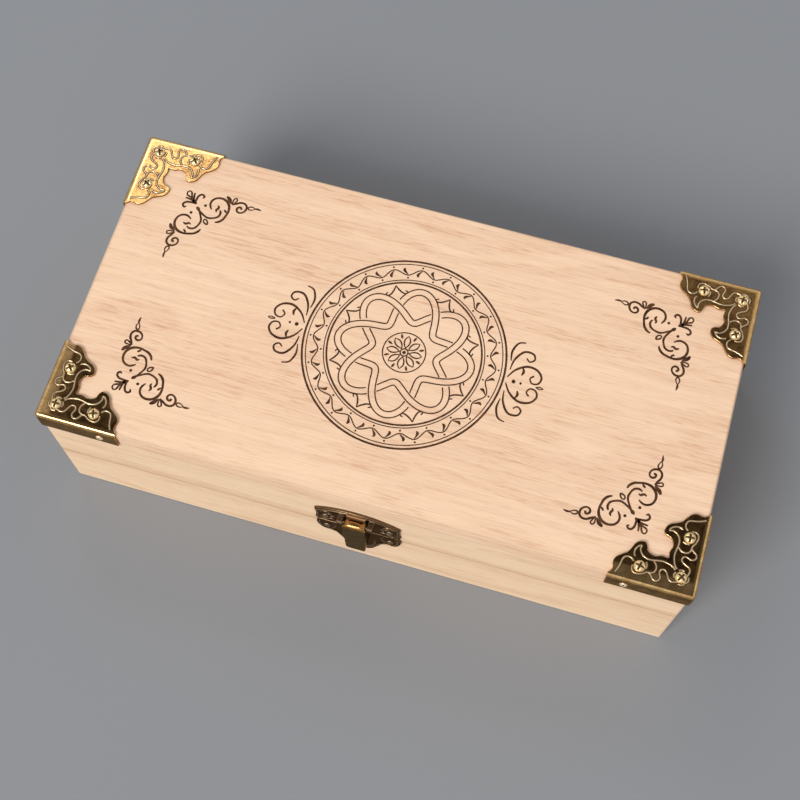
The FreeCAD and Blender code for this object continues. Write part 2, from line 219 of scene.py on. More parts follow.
def wood(name, along, light, dark, shift, streak=False, glue=False):
    """Pale wood with its grain along one axis (0 is X, 1 is Y); each shift is another plank.

    streak puts a reddish streak in it, and glue the lines of the seam and of the glue joint."""
    shader = Shader(name, **{"Specular IOR Level": 0.35})

    def drawn_out(length, width, offset=0.0):
        """Coordinates stretched along the grain, for blotches of this size in millimetres."""
        scale = [METRE / width] * 3
        scale[along] = METRE / length
        return shader.place(scale, (shift + offset, shift * 0.7, shift * 1.3))

    def layer(length, width, offset, detail, roughness=0.55, spread=None):
        """Noise along the grain, where spread is the part of it that is taken as 0 to 1."""
        noise = shader.noise(drawn_out(length, width, offset), detail, roughness)
        return shader.span(noise, *spread) if spread else noise

    streaks = layer(60.0, 1.6, offset=3.0, detail=3.0, roughness=0.6, spread=(0.42, 0.68))
    dashes = layer(9.0, 0.6, offset=5.0, detail=2.0, roughness=0.6, spread=(0.52, 0.70))
    pores = layer(5.0, 0.34, offset=11.0, detail=1.0, spread=(0.62, 0.74))
    fibre = layer(26.0, 0.45, offset=7.0, detail=4.0, roughness=0.7)

    # The growth rings wander, because a wider noise pushes them about
    wandering = 9.0
    push = shader.math("MULTIPLY", layer(160.0, 60.0, offset=0.0, detail=2.0), wandering)
    pushed = shader.add("ShaderNodeCombineXYZ", {"X": push, "Y": push, "Z": push})
    inputs = {0: drawn_out(900.0, 9.0), 1: pushed.outputs["Vector"]}
    bent = shader.add("ShaderNodeVectorMath", inputs, operation="ADD").outputs["Vector"]
    rings = shader.span(shader.noise(bent, detail=2.0, roughness=0.4), 0.42, 0.62)

    # Dashes and pores are stronger in the dark rings
    gathered = shader.span(rings, 0.0, 1.0, 0.5, 1.15)
    dashes = shader.math("MULTIPLY", dashes, gathered)
    amount = shader.weighed((rings, 0.22), (streaks, 0.24), (dashes, 0.56))
    colour = shader.blend(amount, light, dark)
    thread = shader.vary(fibre, 1.05, 0.94)
    thread = shader.add("ShaderNodeCombineColor", {0: thread, 1: thread, 2: thread})
    colour = shader.blend(1.0, colour, thread.outputs["Color"], "MULTIPLY")
    pore_tone = (0.8 * dark[0], 0.7 * dark[1], 0.62 * dark[2])
    pore_strength = 0.42
    pitted = shader.math("MULTIPLY", shader.math("MULTIPLY", pores, gathered), pore_strength)
    colour = shader.blend(pitted, colour, pore_tone)

    parts = shader.millimetres()
    if streak:
        colour = red_streak(shader, colour, parts["Z"], parts["X"])
    if glue:
        colour = hairline(
            shader, colour, parts["Z"], seam, core=0.06, reach=0.24, strength=0.62, tone=seam_tone
        )
        colour = hairline(
            shader, colour, parts["Z"], glue_level,
            core=0.05, reach=0.22, strength=0.5, tone=glue_tone,
        )
    # Painted shade along the upper edges of the lid
    colour = shaded_edges(shader, colour, parts)
    rough = shader.vary(fibre, 0.58, 0.7)
    shader.set(shader.surface, {"Base Color": colour, "Roughness": rough})
    shader.bump(shader.math("SUBTRACT", fibre, pores), 0.03 * MM, 0.6)
    return shader.material


class Metal(Shader):
    """Metal with a cloudy and a finer noise that its colour and gloss vary by."""

    def __init__(self, name, tint=(1.0, 1.0, 1.0), metallic=1.0, clouds=330.0, specks=1900.0):
        super().__init__(name, **{"Metallic": metallic, "Specular Tint": (*tint, 1.0)})
        self.cloud = self.even_noise(clouds, 4.0, 0.6)
        self.speck = self.even_noise(specks, 3.0, 0.65)

    def finish(self, colour, smooth, rough):
        """Set the colour, and a roughness that varies from smooth to rough."""
        gloss = self.vary(self.cloud, smooth, rough)
        self.set(self.surface, {"Base Color": colour, "Roughness": gloss})

    def pit(self):
        """Fine pits all over."""
        self.bump(self.speck, 0.04 * MM, 0.25)


def metal(name, bright, dark, share, rough, spread, grime=0.0, **settings):
    """Patinated metal: share is how much of it is bright, spread how far the gloss varies, and
    grime how dark the dirt in its deepest specks is."""
    shader = Metal(name, **settings)
    speckled = 0.35
    clouds = shader.math("MULTIPLY", shader.cloud, 1.0 - speckled)
    mixed = shader.math("MULTIPLY_ADD", shader.speck, speckled, clouds)
    limit, softness = 0.5 - 0.3 * share, 0.12
    amount = shader.span(mixed, limit + softness, limit - softness)
    colour = shader.blend(amount, bright, dark)
    if grime:
        spots = shader.span(shader.speck, 0.58, 0.68, 0.0, grime)
        colour = shader.blend(spots, colour, tuple(0.4 * channel for channel in dark))
    shader.finish(colour, rough, rough + spread)
    shader.pit()
    return shader.material


def guard_metal():
    """Dark brass whose outer bends roll off gently, with a gold band along them that is rubbed
    brass and a painted highlight of the bends.
    """
    shader = Metal("guard_brass", tint=(0.9, 0.75, 0.58))
    parts = shader.millimetres()
    corner_softness = 1.5
    inward = [
        shader.math("SUBTRACT", size + sheet, shader.math("ABSOLUTE", parts[axis]))
        for axis, size in (("X", half_length), ("Y", half_width))
    ]

    # The gold band along the rim is a painted highlight of the bends on rubbed brass. It is wider,
    # as a wider painted reflection, on the left arm of the front left guard and on the front arm
    # of the front right one. These two are where forward plus leftward, or rightward, is large.
    forward = shader.math("MULTIPLY", parts["Y"], -1.0)
    to_rim = []
    for distance, way, extra in zip(inward, ("SUBTRACT", "ADD"), (2.6, 3.2)):
        here = shader.span(shader.math(way, forward, parts["X"]), 95.0, 115.0)
        to_rim.append(shader.math("SUBTRACT", distance, shader.math("MULTIPLY", here, extra)))
    to_rim = shader.math("SMOOTH_MIN", *to_rim, corner_softness)
    raggedness = 2.0
    to_rim = shader.math("MULTIPLY_ADD", shader.cloud, raggedness, to_rim)
    upper = shader.span(parts["Z"], lid_top - 0.4, lid_top - 0.1)
    polish_and_highlight = shader.math("MULTIPLY", upper, shader.span(to_rim, 2.1, 2.9, 1.0, 0.0))

    patch = shader.span(shader.math("ADD", shader.cloud, shader.speck), 0.84, 1.16)
    dull = shader.blend(patch, (0.13, 0.061, 0.021), (0.39, 0.210, 0.070))
    # Gold of the rim band: rubbed brass, and a painted highlight
    gold_highlight = shader.blend(patch, (0.70, 0.40, 0.145), (0.99, 0.65, 0.28))
    shader.finish(shader.blend(polish_and_highlight, dull, gold_highlight), 0.09, 0.16)

    # The surface falls by this much times the square of how far it is into the roll
    roll_width, roll_fall, pits = 1.6, 0.068, 0.004
    near = shader.math("SMOOTH_MIN", *inward, corner_softness)
    roll = shader.math("SUBTRACT", roll_width, shader.math("MINIMUM", near, roll_width))
    roll = shader.math("MULTIPLY", shader.math("MULTIPLY", roll, roll), -roll_fall)
    shader.bump(shader.math("ADD", roll, shader.math("MULTIPLY", shader.speck, pits)), MM)
    return shader.material


def tongue_metal():
    """Painted reflection on one metal: brass round the barrel, which faces the light above and is
    rubbed there too, and dark on the flat of the tongue, which faces the floor.
    """
    shader = Metal("tongue_brass", tint=(0.52, 0.47, 0.4), clouds=420.0, specks=2100.0)
    raggedness = 2.4
    level = shader.math("MULTIPLY_ADD", shader.cloud, raggedness, shader.millimetres()["Z"])
    # The flat's darker colour is painted shade, and the barrel's brass is a painted highlight on
    # rubbed metal
    flat = shader.blend(shader.cloud, (0.17, 0.118, 0.066), (0.34, 0.245, 0.14))
    barrel = shader.blend(shader.cloud, (0.25, 0.125, 0.04), (0.60, 0.34, 0.12))
    shader.finish(shader.blend(shader.span(level, 41.9, 43.3), flat, barrel), 0.2, 0.34)
    shader.pit()
    return shader.material


def burned():
    """Lines burned into the wood."""
    shader = Shader("burned_line", **{"Specular IOR Level": 0.08})
    patch = shader.even_noise(420.0)
    fibre = shader.noise(shader.place((30.0, 1800.0, 1800.0)), 3.0, 0.7)
    mixed = shader.math("MULTIPLY_ADD", fibre, 0.5, shader.math("MULTIPLY", patch, 0.5))
    light = shader.span(mixed, 0.36, 0.62)
    shader.set(shader.surface, {
        "Base Color": shader.blend(light, (0.032, 0.013, 0.006), (0.13, 0.058, 0.026)),
        "Roughness": shader.vary(fibre, 0.7, 0.9),
    })
    shader.bump(fibre, 0.03 * MM, 0.5)
    return shader.material


wood_top = wood("wood_top", 0, *top_tones, 2.3, glue=True)
wood_front = wood("wood_front", 0, *side_tones, 5.1, streak=True, glue=True)
wood_back = wood("wood_back", 0, *side_tones, 9.7, glue=True)
wood_side = wood("wood_side", 1, *side_tones, 14.2, glue=True)
wood_bottom = wood("wood_bottom", 0, *side_tones, 21.6)
burned_line = burned()

guard_brass = guard_metal()
tongue_brass = tongue_metal()
patina = metal(
    "patina", (0.13, 0.08, 0.035), (0.05, 0.03, 0.014), share=0.5, rough=0.45, spread=0.2
)
plate_brass = metal(
    "plate_brass", (0.165, 0.105, 0.048), (0.06, 0.037, 0.018),
    share=0.45, rough=0.11, spread=0.06, grime=0.4,
)
line_brass = metal(
    "line_brass", (0.86, 0.66, 0.42), (0.55, 0.38, 0.20), share=0.7, rough=0.24, spread=0.12
)
# Lighter brass on the guards' rounded edges: rubbed metal, and a painted highlight along them
edge_brass = metal(
    "edge_brass", (0.80, 0.52, 0.25), (0.50, 0.29, 0.11), share=0.7, rough=0.22, spread=0.1
)
nail_brass = metal(
    "nail_brass", (0.92, 0.70, 0.38), (0.68, 0.46, 0.20),
    share=0.8, rough=0.2, spread=0.1, metallic=0.65,
)
flange_nail = metal(
    "flange_nail", (0.94, 0.76, 0.54), (0.76, 0.55, 0.34),
    share=0.8, rough=0.32, spread=0.1, metallic=0.6,
)
clasp_brass = metal(
    "clasp_brass", (0.17, 0.105, 0.065), (0.052, 0.034, 0.023),
    share=0.4, rough=0.3, spread=0.16, grime=0.5, tint=(0.5, 0.42, 0.35),
)
clasp_line = metal(
    "clasp_line", (0.34, 0.22, 0.12), (0.12, 0.08, 0.045), share=0.5, rough=0.3, spread=0.14
)
# Darker brass for the hood over the tongue: painted shade that dims its highlight
hood_shade_brass = metal(
    "hood_shade_brass", (0.18, 0.090, 0.042), (0.085, 0.042, 0.022),
    share=0.5, rough=0.38, spread=0.16, grime=0.4,
)
clasp_nail = metal(
    "clasp_nail", (0.28, 0.20, 0.12), (0.11, 0.08, 0.05), share=0.5, rough=0.34, spread=0.16
)
pin_steel = metal(
    "pin_steel", (0.10, 0.066, 0.038), (0.045, 0.03, 0.018),
    share=0.5, rough=0.4, spread=0.12, tint=(0.4, 0.3, 0.22),
)


# Meshes


def in_scene(name, data):
    """A new object, linked to the scene."""
    piece = bpy.data.objects.new(name, data)
    bpy.context.scene.collection.objects.link(piece)
    return piece


def mesh_piece(name, verts, faces, body, material, smooth=True):
    """A new piece from points in metres."""
    mesh = bpy.data.meshes.new(name)
    mesh.from_pydata(verts, [], faces)
    work = bmesh.new()
    work.from_mesh(mesh)
    bmesh.ops.recalc_face_normals(work, faces=work.faces)
    work.to_mesh(mesh)
    work.free()
    mesh.materials.append(material)
    piece = in_scene(name, mesh)
    if smooth:
        crease = math.radians(50)
        mesh.shade_smooth()
        mesh.set_sharp_from_angle(angle=crease)
    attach(piece, body)
    return piece


def dressed(node, material, polish_and_highlight, bevel):
    """A smooth copy of a CAD node with its edges rounded; the rounding takes the second material,
    which on the plates is lighter metal: rubbed, and a painted highlight along the edges.
    """
    same_point, same_plane = 1e-6, math.radians(1)
    crease, rounded = math.radians(35), math.radians(40)
    source = nodes[node]
    mesh = source.data.copy()
    mesh.name = node + "_dressed"
    mesh.materials.clear()
    mesh.materials.append(material)
    mesh.materials.append(polish_and_highlight)
    work = bmesh.new()
    work.from_mesh(mesh)
    bmesh.ops.remove_doubles(work, verts=work.verts, dist=same_point)
    bmesh.ops.dissolve_limit(work, angle_limit=same_plane, verts=work.verts, edges=work.edges)
    work.to_mesh(mesh)
    work.free()
    piece = in_scene(node + "_dressed", mesh)
    mesh.shade_smooth()
    mesh.set_sharp_from_angle(angle=crease)
    rounding = piece.modifiers.new("rounding", "BEVEL")
    rounding.width = bevel * MM
    rounding.segments = 2
    rounding.limit_method = "ANGLE"
    rounding.angle_limit = rounded
    # The rounding takes the second material, partly a painted highlight
    rounding.material = 1
    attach(piece, source["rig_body"])
    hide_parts(node)
    return piece


def flowing(points):
    """Points along a smooth line through the given points; each is (u, v) or (u, v, width)."""
    step = 0.3
    knots = [Vector(point if len(point) == 3 else (*point, 0.0)) for point in points]
    last = len(knots) - 1
    path = []
    for index in range(last):
        a, b, c, d = (knots[min(max(index + offset, 0), last)] for offset in (-1, 0, 1, 2))
        pieces = max(2, math.ceil((c.xy - b.xy).length / step))
        for part in range(pieces):
            t = part / pieces
            path.append(0.5 * (
                2 * b + (c - a) * t + (2 * a - 5 * b + 4 * c - d) * t * t
                + (3 * b - a - 3 * c + d) * t * t * t
            ))
    path.append(knots[-1])
    return path


class Drawing:
    """Lines drawn on a flat face, each a thin solid strip; all of them become one mesh."""

    # Strips that cross have their tops at different heights, a little apart
    LIFT, LEVELS = 0.0015, 6
    LEAST_WIDTH = 0.04

    def __init__(self, section, weight=1.0):
        self.section = section
        self.weight = weight
        self.verts = []
        self.faces = []
        self.strips = 0

    def line(self, path, width=None, closed=False):
        """A strip along a path of (u, v, width), or of one width all along."""
        lift = self.LIFT * (self.strips % self.LEVELS)
        self.strips += 1
        count = len(path)
        sides = len(self.section)
        start = len(self.verts)
        for index, point in enumerate(path):
            if closed:
                before, after = path[index - 1], path[(index + 1) % count]
            else:
                before, after = path[max(index - 1, 0)], path[min(index + 1, count - 1)]
            along = Vector((after[0] - before[0], after[1] - before[1]))
            if along.length > 0:
                along.normalize()
            full = max(point[2], self.LEAST_WIDTH) if width is None else width
            half = self.weight * full / 2
            for across, height in self.section:
                u = point[0] - along.y * across * half
                v = point[1] + along.x * across * half
                self.verts.append((u, v, height + (lift if height > 0 else 0.0)))
        for index in range(count if closed else count - 1):
            here = start + index * sides
            there = start + (index + 1) % count * sides
            for side in range(sides):
                other = (side + 1) % sides
                self.faces.append((here + side, here + other, there + other, there + side))
        if not closed:
            for end in (start, start + (count - 1) * sides):
                self.faces.append(tuple(range(end, end + sides)))

    def stroke(self, points, width=None):
        self.line(flowing(points), width)

    def ring(self, radius, width, centre=(0.0, 0.0), sides=96):
        turn = [2 * math.pi * side / sides for side in range(sides)]
        path = [(centre[0] + radius * math.cos(a), centre[1] + radius * math.sin(a)) for a in turn]
        self.line(path, width, closed=True)

    def dot(self, u, v, radius):
        self.ring(radius / 2, radius, (u, v), 12)

    def placed(self, place):
        return [tuple(MM * value for value in place(*vert)) for vert in self.verts]


# Sections of a strip, as (across in half widths, height): a flat burned line and a raised bead
scorched = [(-1, -0.02), (1, -0.02), (1, 0.02), (-1, 0.02)]
bead = [
    (-1, -0.08), (1, -0.08), (0.93, 0.09), (0.68, 0.17),
    (0.28, 0.22), (-0.28, 0.22), (-0.68, 0.17), (-0.93, 0.09),
]

corners = {
    "front_left": (-1, -1),
    "front_right": (1, -1),
    "back_left": (-1, 1),
    "back_right": (1, 1),
}


def on_corner(sides, level, shift=(0.0, 0.0)):
    """Placer for what is measured inward from one corner of the lid."""
    def place(u, v, h=0.0):
        x = sides[0] * (half_length - (u + shift[0]))
        y = sides[1] * (half_width - (v + shift[1]))
        return (x, y, level + h)
    return place


def on_top(u, v, h):
    return (u, v, lid_top + h)


def on_front(u, v, h=0.0):
    """Placer for the clasp's plates, measured from the middle of the seam."""
    return (u, -half_width - sheet - h, seam + v)


# Wood

wood_of = {
    "lid_top_panel": wood_top,
    "base_bottom_panel": wood_bottom,
    "base_front_board": wood_front,
    "lid_front_board": wood_front,
    "base_back_board": wood_back,
    "lid_back_board": wood_back,
    "base_left_board": wood_side,
    "base_right_board": wood_side,
    "lid_left_board": wood_side,
    "lid_right_board": wood_side,
}
for node, material in wood_of.items():
    nodes[node].data.materials.clear()
    nodes[node].data.materials.append(material)


# Burned ornament: a flourish at each corner, and a woven medallion with scrolls in the middle

# One half of a corner flourish, as (u, v, width) in from the corner
flourish_half = [
    [(18.6, 38.9, 0.15), (18.4, 37.7, 0.5), (18.5, 36.5, 0.25)],
    [(18.6, 36.9, 0.2), (18.1, 35.9, 0.3), (18.4, 34.8, 0.35), (19.1, 34.7, 0.35),
     (19.3, 35.5, 0.3), (18.7, 36.8, 0.2)],
    [(19.0, 29.2, 0.4), (18.4, 30.4, 0.5), (17.7, 31.6, 0.5), (17.6, 32.9, 0.5),
     (18.3, 33.9, 0.5), (19.5, 34.1, 0.5), (20.6, 33.6, 0.45), (21.2, 32.6, 0.4),
     (21.0, 31.6, 0.45), (20.2, 31.2, 0.5), (19.4, 31.6, 0.5), (19.3, 32.4, 0.5),
     (20.0, 32.6, 0.5)],
    [(19.1, 29.3, 0.3), (18.0, 30.0, 0.35), (17.1, 30.4, 0.35), (16.6, 30.0, 0.35),
     (16.8, 29.4, 0.35), (17.6, 29.2, 0.35), (18.9, 29.2, 0.3)],
    [(18.9, 28.9, 0.2), (17.8, 28.2, 0.8), (17.1, 27.5, 0.8), (16.7, 26.7, 0.4)],
    [(26.6, 26.0, 0.3), (26.1, 27.1, 0.55), (25.0, 28.1, 0.55), (23.5, 28.6, 0.5),
     (21.9, 28.9, 0.5), (20.3, 28.7, 0.6), (19.0, 28.0, 0.65), (18.1, 26.8, 0.6),
     (17.8, 25.3, 0.55), (18.2, 23.8, 0.5), (19.2, 22.8, 0.5), (20.6, 22.5, 0.5),
     (21.7, 22.9, 0.45), (22.5, 23.5, 0.25)],
    [(22.5, 28.7, 0.2), (22.0, 28.0, 0.5), (21.4, 27.6, 0.35)],
    [(24.1, 20.0, 0.5), (24.8, 21.2, 0.45), (25.4, 22.3, 0.45), (25.7, 23.4, 0.5),
     (25.5, 24.5, 0.45), (25.1, 25.5, 0.45), (24.5, 26.3, 0.5), (23.5, 26.7, 0.5),
     (22.7, 26.6, 0.5), (22.0, 26.2, 0.3)],
    [(20.5, 25.1, 0.25), (21.1, 25.5, 0.5), (21.7, 25.4, 0.55), (22.3, 25.0, 0.5),
     (23.0, 25.3, 0.25)],
    [(21.9, 17.6, 0.5), (20.6, 17.7, 0.5), (19.2, 17.9, 0.5), (18.3, 18.6, 0.5),
     (18.3, 19.4, 0.5), (18.9, 19.9, 0.45), (19.4, 19.4, 0.3)],
    [(21.8, 17.1, 0.6), (20.0, 16.7, 0.5), (18.2, 16.5, 0.35)],
    [(20.9, 16.4, 0.4), (19.6, 15.9, 0.4), (18.3, 15.4, 0.35)],
]

# What lies on the flourish's axis and isn't mirrored
flourish_middle = [
    [(26.5, 22.4, 0.3), (26.6, 23.3, 0.35), (27.3, 23.8, 0.4), (28.0, 23.9, 0.4),
     (27.9, 23.2, 0.4), (27.4, 22.5, 0.35), (26.5, 22.4, 0.3)],
    [(24.1, 20.0, 0.4), (23.6, 19.5, 0.75), (23.2, 19.1, 0.75), (22.8, 18.7, 0.3)],
    [(20.2, 16.1, 0.3), (18.6, 15.6, 0.35), (18.2, 14.6, 0.35), (18.8, 13.9, 0.35),
     (19.7, 14.4, 0.35), (20.2, 16.1, 0.3)],
    [(22.3, 17.9, 0.3), (21.7, 17.4, 0.8), (21.0, 16.9, 0.6), (20.4, 16.3, 0.3)],
]
flourish_dot = (21.7, 21.2)
dot_radius = 0.4

# The axis is the line where u is this much more than v
axis_shift = 4.1
flourish_weight = 1.42
medallion_weight = 1.3

# How far each flourish lies from the mean place, along and across
flourish_shift = {
    "front_left": (0.3, 0.0),
    "front_right": (-1.4, 0.6),
    "back_left": (-0.4, 1.0),
    "back_right": (-0.6, 0.3),
}


def mirrored(u, v):
    return (v + axis_shift, u - axis_shift)


def burn(name, drawing, place):
    verts = drawing.placed(place)
    mesh_piece(name, verts, drawing.faces, "lid", burned_line, smooth=False)


def flourish(name, sides):
    drawing = Drawing(scorched, flourish_weight)
    for points in flourish_half:
        drawing.stroke(points)
        drawing.stroke([(*mirrored(u, v), width) for u, v, width in points])
    for points in flourish_middle:
        drawing.stroke(points)
    drawing.dot(*flourish_dot, dot_radius)
    drawing.dot(*mirrored(*flourish_dot), dot_radius)
    burn(f"flourish_{name}", drawing, on_corner(sides, lid_top, flourish_shift[name]))


def polar(radius, angle):
    return (radius * math.cos(angle), radius * math.sin(angle))


def polar_stroke(drawing, angle, points):
    """A stroke through points of (radius, angle from the given one, width)."""
    drawing.stroke([(*polar(radius, angle + turn), width) for radius, turn, width in points])


def woven(drawing, radius, swing, lobes, strap, width):
    """Two waved bands woven over and under each other, each drawn by its two edges."""
    count = 720  # points round each band
    every = 4  # one in so many is drawn
    window = 40  # how many points away the other band's nearest point may be
    clearance = strap / 2 + 0.75 * width
    angles = [2 * math.pi * index / count for index in range(count)]
    bands = {
        way: [Vector(polar(radius + way * swing * math.cos(lobes * a), a)) for a in angles]
        for way in (-1, 1)
    }
    for way, own in bands.items():
        other = bands[-way]
        for edge in (-1, 1):
            run = []
            for index in range(count + 1):
                along = (own[(index + 1) % count] - own[index - 1]).normalized()
                spot = own[index % count] + Vector((-along.y, along.x)) * edge * strap / 2
                crossing = int(2 * lobes * (index % count) / count)
                under = (crossing % 2 == 0) == (way > 0)
                near = [other[i % count] for i in range(index - window, index + window + 1)]
                if under and min((spot - point).length for point in near) < clearance:
                    if len(run) > 2:
                        drawing.line(run, width)
                    run = []
                elif index % every == 0 or not run:
                    run.append((spot.x, spot.y))
            if len(run) > 2:
                drawing.line(run, width)


def vine(drawing, radius, swing, waves):
    """A waved stem with a leaf and a bud in each bend."""
    steps = 400
    stem = [
        polar(radius + swing * math.sin(2 * math.pi * waves * i / steps), 2 * math.pi * i / steps)
        for i in range(steps)
    ]
    drawing.line(stem, 0.3, closed=True)
    leaf_turn, leaf_reach = 0.035, 1.5
    bud_reach, bud_radius = 1.9, 0.28
    for index in range(2 * waves):
        angle = math.pi * (index + 0.5) / waves
        side = 1 if index % 2 == 0 else -1
        root = radius + side * swing
        tip = radius - side * leaf_reach
        polar_stroke(drawing, angle, [
            (root - side * 0.3, 0.0, 0.2), (root - side * 1.0, 0.7 * leaf_turn, 0.45),
            (tip + side * 0.7, 1.2 * leaf_turn, 0.7), (tip, 0.9 * leaf_turn, 0.2),
        ])
        drawing.dot(*polar(radius + side * bud_reach, angle), bud_radius)


def flower(drawing, petals):
    """Petals round a small ring, with a short stroke between each two."""
    for index in range(petals):
        angle = 2 * math.pi * index / petals
        for way in (-1, 1):
            polar_stroke(drawing, angle, [
                (1.5, 0.0, 0.25), (2.9, way * 0.26, 0.35), (4.3, way * 0.2, 0.35), (5.6, 0.0, 0.2),
            ])
        polar_stroke(drawing, angle + math.pi / petals, [
            (4.6, 0.0, 0.2), (5.4, 0.0, 0.6), (6.2, 0.0, 0.2),
        ])
    drawing.ring(1.2, 0.35, sides=24)
    drawing.dot(0.0, 0.0, 0.5)


def medallion():
    """Rings, a vine between them, two woven bands, curls round these and a flower within."""
    drawing = Drawing(scorched, medallion_weight)
    for radius, width in ((31.2, 0.5), (30.1, 0.25), (24.6, 0.25), (23.7, 0.45), (6.6, 0.3)):
        drawing.ring(radius, width)
    vine(drawing, radius=27.35, swing=1.0, waves=20)
    woven(drawing, radius=15.6, swing=5.4, lobes=4, strap=2.0, width=0.32)
    flower(drawing, petals=8)
    curls = 8
    for index in range(curls):
        for way in (-1, 1):
            polar_stroke(drawing, 2 * math.pi * (index + 0.5) / curls, [
                (22.9, 0.0, 0.25), (21.6, way * 0.03, 0.4), (20.3, way * 0.085, 0.4),
                (19.9, way * 0.14, 0.35), (20.5, way * 0.165, 0.35), (21.0, way * 0.13, 0.3),
            ])
    burn("medallion", drawing, on_top)


def sprays():
    """Scrolls to the left and right of the medallion."""
    drawing = Drawing(scorched, medallion_weight)
    quarter = [
        [(32.2, 1.0, 0.3), (34.2, 4.0, 0.5), (37.4, 5.9, 0.6), (40.6, 5.4, 0.55), (42.3, 3.3, 0.5),
         (41.7, 1.3, 0.45), (39.9, 0.9, 0.4), (39.0, 2.3, 0.4), (40.0, 3.4, 0.45)],
        [(32.4, 3.6, 0.25), (33.0, 7.2, 0.5), (35.2, 10.3, 0.55), (38.0, 10.4, 0.5),
         (38.9, 8.7, 0.45), (37.6, 7.6, 0.4), (36.4, 8.5, 0.35)],
        [(32.0, 6.4, 0.25), (31.6, 9.6, 0.5), (32.8, 12.6, 0.45), (35.0, 13.4, 0.3)],
        [(36.0, 5.3, 0.2), (36.6, 3.9, 0.65), (36.2, 2.6, 0.3)],
        [(41.3, 0.0, 0.3), (42.6, 0.35, 0.3), (43.7, 0.0, 0.2)],
    ]
    for points in quarter:
        for side in (-1, 1):
            for way in (-1, 1):
                drawing.stroke([(side * u, way * v, width) for u, v, width in points])
    for side in (-1, 1):
        for reach, radius in ((34.4, 0.55), (36.6, 0.35)):
            drawing.dot(side * reach, 0.0, radius)
    burn("medallion_sprays", drawing, on_top)


for name, sides in corners.items():
    flourish(name, sides)
medallion()
sprays()


# Corner guards: smooth plates, raised beads and domed nails

# Beads on one arm of a guard, as (u, v) in from the corner of the box
guard_beads = [
    [(2.4, 5.0), (2.3, 4.0), (2.9, 3.3), (4.2, 3.2), (5.6, 2.8), (6.8, 2.5), (7.8, 2.9),
     (8.4, 4.0), (9.0, 5.0), (9.7, 5.4), (10.5, 5.1), (10.8, 4.4), (10.6, 3.6), (10.3, 2.8),
     (10.6, 1.9), (11.4, 1.5), (12.3, 1.8), (12.9, 2.6), (13.6, 3.3), (14.4, 3.2),
     (15.5, 2.5), (17.0, 2.1), (18.2, 2.4), (18.7, 3.3), (18.6, 4.3)],
    [(13.6, 3.3), (12.5, 3.7), (11.9, 4.7), (12.1, 6.0), (12.9, 7.0)],
    [(6.6, 6.2), (7.4, 6.9), (8.7, 7.4), (10.3, 7.7), (12.0, 7.5), (13.5, 7.2), (14.9, 7.2),
     (16.0, 7.6), (16.9, 8.4), (17.4, 9.5), (17.3, 10.6), (18.1, 10.2), (18.8, 9.1),
     (18.9, 7.9), (18.5, 7.0)],
    [(18.6, 5.5), (19.3, 6.2), (20.3, 6.4), (21.3, 6.0), (21.8, 5.0), (22.0, 3.8),
     (22.4, 2.4), (23.0, 1.0)],
    [(15.0, 6.2), (14.6, 5.2), (14.7, 4.2)],
    [(6.3, 5.6), (6.7, 4.7), (6.4, 3.9)],
]
guard_bevel = 0.26
plate_bevel = 0.1
bead_width, clasp_bead_width = 0.42, 0.4
patina_width = 0.78

plate_level = lid_top + sheet
for name, sides in corners.items():
    dressed(f"corner_guard_{name}", guard_brass, edge_brass, guard_bevel)
    layers = (("patina", scorched, patina_width, patina), ("beads", bead, bead_width, line_brass))
    for layer, section, width, material in layers:
        drawing = Drawing(section)
        for points in guard_beads:
            drawing.stroke(points, width)
            drawing.stroke([(v, u) for u, v in points], width)
        verts = drawing.placed(on_corner(sides, plate_level))
        mesh_piece(f"guard_{layer}_{name}", verts, drawing.faces, "lid", material)


# Radius and height of the nail heads
large_head = (1.74, 1.29)
small_head = (1.19, 0.59)

# A head's rings as (radius, height) in parts of its own, from its seat to its top
rim_height = 0.06
dome_angles = (0.2, 0.4, 0.6, 0.78, 0.94, 1.08, 1.2, 1.32, 1.44, 1.53)
dome_rings = [(1.0, -0.04), (1.0, rim_height)]
dome_rings += [
    (math.cos(a), rim_height + (1.0 - rim_height) * math.sin(a)) for a in dome_angles
]
dome_sides = 48

# The cross in a head, in parts of its radius and height; where it is deep enough it is dark
cross_depth = 0.45
cross_half_width = 0.22
cross_reach = 0.8
cross_end = 0.1
cross_dark = 0.45


def cross(radius, angle):
    """How deep the cross in a nail head is at a point, from 0 to 1."""
    near, far = sorted(abs(value) for value in polar(radius, angle))
    across = max(0.0, 1.0 - (near / cross_half_width) ** 2)
    return across * min(1.0, max(0.0, (cross_reach - far) / cross_end))


